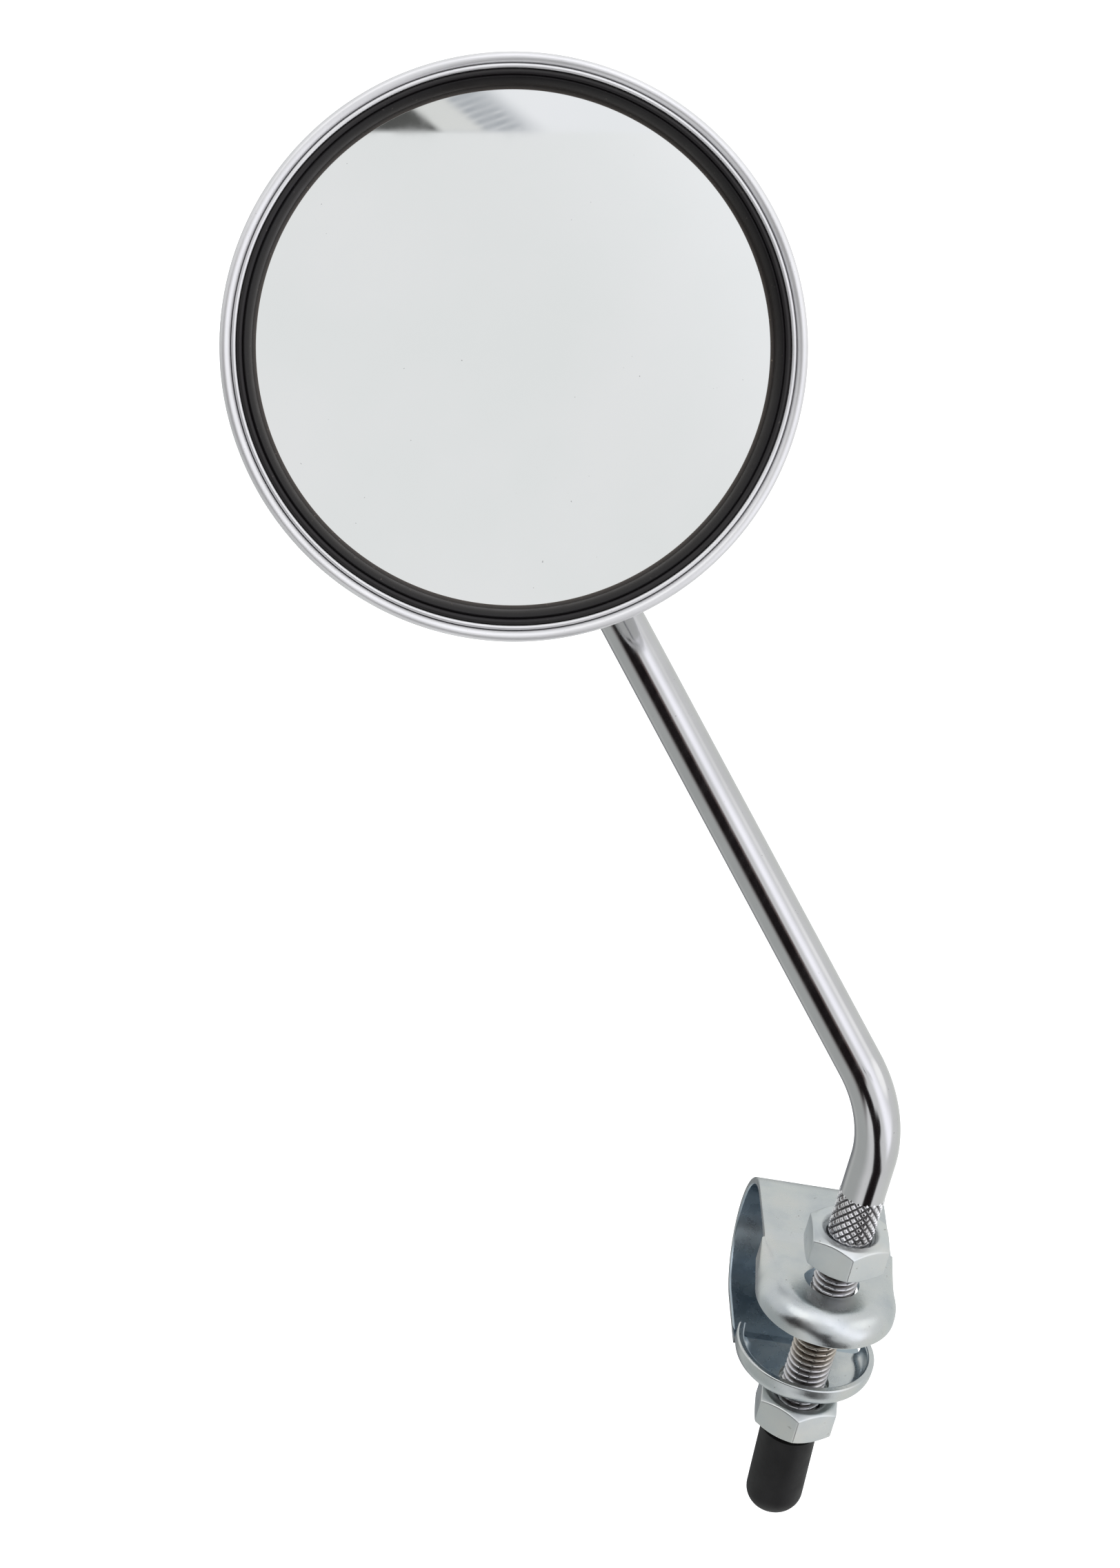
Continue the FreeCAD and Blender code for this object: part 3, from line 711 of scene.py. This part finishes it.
class Sky(Nodes):
    """World shader made of soft patches of light and dark around the object."""

    def __init__(self, base):
        world = bpy.data.worlds.new("studio")
        world.use_nodes = True
        bpy.context.scene.world = world
        super().__init__(world.node_tree)
        self.background = self.tree.nodes["Background"]
        self.direction = self.add("ShaderNodeTexCoord").outputs["Generated"]
        rgb = self.add("ShaderNodeRGB")
        rgb.outputs[0].default_value = (*base, 1)
        self.value = rgb.outputs[0]

    def along(self, axis):
        node = self.add("ShaderNodeVectorMath", operation="DOT_PRODUCT")
        node.inputs[1].default_value = axis
        self.link(self.direction, node.inputs[0])
        return node.outputs["Value"]

    def step(self, value, start, end):
        node = self.add("ShaderNodeMapRange", interpolation_type="SMOOTHSTEP")
        node.inputs["From Min"].default_value = start
        node.inputs["From Max"].default_value = end
        self.link(value, node.inputs["Value"])
        return node.outputs["Result"]

    def times(self, value, factor):
        node = self.add("ShaderNodeMath", operation="MULTIPLY")
        self.link(value, node.inputs[0])
        if isinstance(factor, (int, float)):
            node.inputs[1].default_value = factor
        else:
            self.link(factor, node.inputs[1])
        return node.outputs[0]

    def overlap(self, first, *others):
        """Mask of where all the given masks meet."""
        for other in others:
            first = self.times(first, other)
        return first

    def ripple(self, value, rate):
        """Mask of fine stripes across a value."""
        wave = self.add("ShaderNodeMath", operation="SINE")
        self.link(self.times(value, rate), wave.inputs[0])
        return self.step(wave.outputs[0], 0.0, 0.9)

    def spot(self, direction, inside, outside):
        """Mask of a round patch: full within the first angle, nothing past the second."""
        return self.step(self.along(direction), cos(radians(outside)), cos(radians(inside)))

    def patch(self, centre, inside, outside):
        return self.spot(studio_direction(*centre), inside, outside)

    def paint(self, mask, colour):
        node = self.add("ShaderNodeMix", data_type="RGBA")
        self.link(mask, node.inputs["Factor"])
        self.link(self.value, node.inputs[MIX_A])
        node.inputs[MIX_B].default_value = (*colour, 1)
        self.value = node.outputs[MIX_RESULT]

    def finish(self, backdrop):
        """What is seen past the object itself is a plain backdrop."""
        self.paint(self.add("ShaderNodeLightPath").outputs["Is Camera Ray"], backdrop)
        self.link(self.value, self.background.inputs["Color"])


def paint_lights(sky, front, across, lengthwise):
    """Pale room behind the object and the soft lights in front of it."""
    sky.paint(sky.step(front, 0.1, -0.7), (0.79, 0.805, 0.785))
    sky.paint(sky.patch((-0.9, -0.45, -0.15), 14, 50), (0.50, 0.52, 0.51))
    # long soft light that runs along the arm, to the upper right of the front
    bar = sky.overlap(sky.step(across, 0.10, 0.42), sky.step(across, 0.95, 0.48),
                      sky.step(front, 0.0, 0.3), sky.step(lengthwise, 0.80, 0.45))
    sky.paint(bar, (1.40, 1.40, 1.48))
    sky.paint(sky.patch((-0.32, 0.55, 0.77), 10, 24), (1.6, 1.6, 1.6))
    sky.paint(sky.patch((0.87, 0.30, 0.39), 8, 22), (1.35, 1.35, 1.35))


def paint_gap(sky, front, across, lengthwise):
    """Dark gap: a strip on the arm's other side that bends round to below the front."""
    strip = sky.overlap(sky.step(lengthwise, 0.42, 0.28), sky.step(lengthwise, -0.24, -0.08),
                        sky.step(across, -1.0, -0.76), sky.step(front, -0.05, 0.45))
    sky.paint(sky.overlap(strip, sky.step(across, -0.06, -0.20)), (0.17, 0.13, 0.125))
    sky.paint(sky.overlap(strip, sky.step(across, -0.16, -0.36)), (0.012, 0.010, 0.010))
    places = ((-0.61, -0.13, 0.78), (-0.26, -0.44, 0.86), (0.12, -0.91, 0.39), (0.30, -0.95, 0.0))
    path = [studio_direction(*place) for place in places]
    for first, second in zip(path, path[1:]):
        for k in range(4):
            sky.paint(sky.spot(first.slerp(second, k / 4), 8.5, 15), BLACK)
    sky.paint(sky.patch((0.06, -0.58, 0.81), 7, 14), BLACK)


def paint_front_wall(sky, right, up, front):
    """Over the pale front wall: a bright ceiling, a ribbed grey panel and a dark corner."""
    over = sky.overlap(sky.step(up, 0.0765, 0.0785), sky.step(up, 0.22, 0.16),
                       sky.step(front, 0.90, 0.94), sky.step(right, -0.03, 0.0))
    slant = sky.along(STUDIO_UP + STUDIO_RIGHT * 0.8)
    ribs = sky.ripple(sky.along(STUDIO_UP - STUDIO_RIGHT * 0.35), 2400)
    sky.paint(over, (0.89, 0.895, 0.92))
    sky.paint(sky.overlap(over, sky.step(slant, 0.170, 0.158)), (0.40, 0.42, 0.45))
    sky.paint(sky.overlap(over, ribs, sky.step(slant, 0.166, 0.160)), (0.66, 0.67, 0.69))
    sky.paint(sky.overlap(over, sky.step(slant, 0.153, 0.149)), (0.74, 0.74, 0.73))
    sky.paint(sky.overlap(over, sky.step(slant, 0.1405, 0.1375)), (0.085, 0.085, 0.083))


def make_sky():
    sky = Sky((0.83, 0.835, 0.84))
    right, up, front = (sky.along(a) for a in (STUDIO_RIGHT, STUDIO_UP, STUDIO_FRONT))
    across, lengthwise = sky.along(ARM_SIDE), sky.along(ARM_DIRECTION)
    paint_lights(sky, front, across, lengthwise)
    paint_gap(sky, front, across, lengthwise)
    # dim far wall behind
    sky.paint(sky.patch((-0.29, 0.05, -0.955), 2, 40), (0.24, 0.25, 0.26))
    paint_front_wall(sky, right, up, front)
    sky.finish((1.0, 1.0, 1.0))


def make_floor():
    """Pale floor far below the object, which lights it from underneath."""
    mesh = bpy.data.meshes.new("floor")
    turns = ((-1, -1), (1, -1), (1, 1), (-1, 1))
    corners = [(x * FLOOR_REACH, y * FLOOR_REACH, FLOOR_Z) for x, y in turns]
    mesh.from_pydata(corners, [], [(0, 1, 2, 3)])
    floor = bpy.data.objects.new("floor", mesh)
    bpy.context.scene.collection.objects.link(floor)
    paper = Shader("floor_white")
    paper.set(Base_Color=(0.9, 0.9, 0.9, 1), Roughness=0.9, Specular_IOR_Level=0.0,
              Emission_Color=(1, 1, 1, 1), Emission_Strength=0.55)
    dress(floor, paper)
    floor.visible_glossy = False


def make_light(name, direction, distance, size, watts):
    data = bpy.data.lights.new(name, "AREA")
    data.energy = watts
    data.shape = "DISK"
    data.size = size
    light = bpy.data.objects.new(name, data)
    middle = (cad_box[0] + cad_box[1]) / 2
    light.location = middle + direction * distance
    light.rotation_euler = direction.to_track_quat("Z", "Y").to_euler()
    light.visible_glossy = False
    bpy.context.scene.collection.objects.link(light)


def make_camera():
    data = bpy.data.cameras.new("camera")
    data.lens = CAMERA_LENS
    data.sensor_width = 36.0
    data.clip_start = 0.05
    camera = bpy.data.objects.new("camera", data)
    axes = Matrix((STUDIO_RIGHT, STUDIO_UP, STUDIO_FRONT)).transposed()
    camera.matrix_world = Matrix.Translation(CAMERA_PLACE) @ axes.to_4x4()
    bpy.context.scene.collection.objects.link(camera)
    bpy.context.scene.camera = camera


# ---- assembly ----------------------------------------------------------------
def dress(obj, finish):
    obj.data.materials.clear()
    obj.data.materials.append(finish.material)


def stand_in(piece, finish, body, node):
    """Puts a fine piece in the place of a plain node, on the same body."""
    dress(piece, finish)
    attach(piece, body)
    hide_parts(node)


chrome_arm = chrome("chrome_arm_finish", 0.63, 0.11)
chrome_head = shell_chrome("chrome_head_finish")
zinc_nuts = zinc("zinc_nut_finish", 0.70, 0.34)
pressed = plain_metal("pressed_steel_finish", 0.5, 0.3, (0.97, 1.0, 1.02))
nylon = moulded("nylon_finish", (0.62, 0.60, 0.54), (0.72, 0.70, 0.65), 0.45, 0.02 * MM)

finishes = {
    "clamp_strap": strap_zinc("zinc_strap_finish"),
    "end_cap": rubber("vinyl_finish", 0.007, 0.55, 1100, (0.98, 0.96, 1.02)),
    "pivot_ball": plain_metal("polished_steel_finish", 0.6, 0.12),
    "rear_seat": nylon,
    "front_seat": nylon,
    "spring_cup": pressed,
    "spring_hat": pressed,
    "pressure_spring": plain_metal("spring_steel_finish", 0.36, 0.28, (1.0, 0.98, 0.95)),
    "hat_rivets": plain_metal("rivet_finish", 0.55, 0.3, (1.0, 0.99, 0.97)),
    "head_shell": chrome_head,
    "bezel_ring": chrome_head,
    "mirror_glass": mirror("mirror_glass_finish"),
    "glass_gasket": gasket_rubber("gasket_finish"),
    "backing_pad": moulded("foam_finish", (0.03, 0.03, 0.032), (0.07, 0.07, 0.072), 0.85, 0.1 * MM),
}
for node, finish in finishes.items():
    dress(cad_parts[node], finish)

# colours from root to crest: painted shade darkens the roots of the thread
thread_root_shade = [(0.0, (0.07, 0.062, 0.058)), (0.4, (0.30, 0.285, 0.28)), (0.8, (0.66, 0.66, 0.69))]
thread_finish = grooved("thread_finish", THREAD_RADIUS - THREAD_DEPTH, THREAD_RADIUS,
                        thread_root_shade, (0.86, 0.79, 0.68))
# colours from root to crest: painted shade darkens the grooves of the knurl
knurl_root_shade = [(0.0, (0.09, 0.09, 0.093)), (0.4, (0.46, 0.45, 0.46)), (0.75, (0.88, 0.88, 0.90))]
knurl_finish = grooved("knurl_finish", KNURL_RADIUS - KNURL_DEPTH, KNURL_RADIUS,
                       knurl_root_shade, (0.92, 0.9, 0.9))
arm_pieces = ((make_arm_tube, chrome_arm), (make_knurl_band, knurl_finish),
              (make_stud_thread, thread_finish))
for make, finish in arm_pieces:
    stand_in(make(), finish, "arm", "arm_rod")

head_pieces = (
    ("head_shell", make_shell, "chrome_shell"),
    ("bezel_ring", make_bezel, "chrome_shell"),
    ("glass_gasket", make_gasket, "black_rubber"),
    ("mirror_glass", make_lens, "mirror_glass"),
)
for node, make, slot in head_pieces:
    stand_in(make(), finishes[node], "head", node)

for node in NUTS:
    stand_in(make_nut(node), zinc_nuts, node, node)

make_sky()
make_floor()
make_light("key", studio_direction(0.35, 0.75, 0.55), distance=0.9, size=0.6, watts=6.0)
make_camera()
bpy.context.scene.view_settings.view_transform = "Standard"
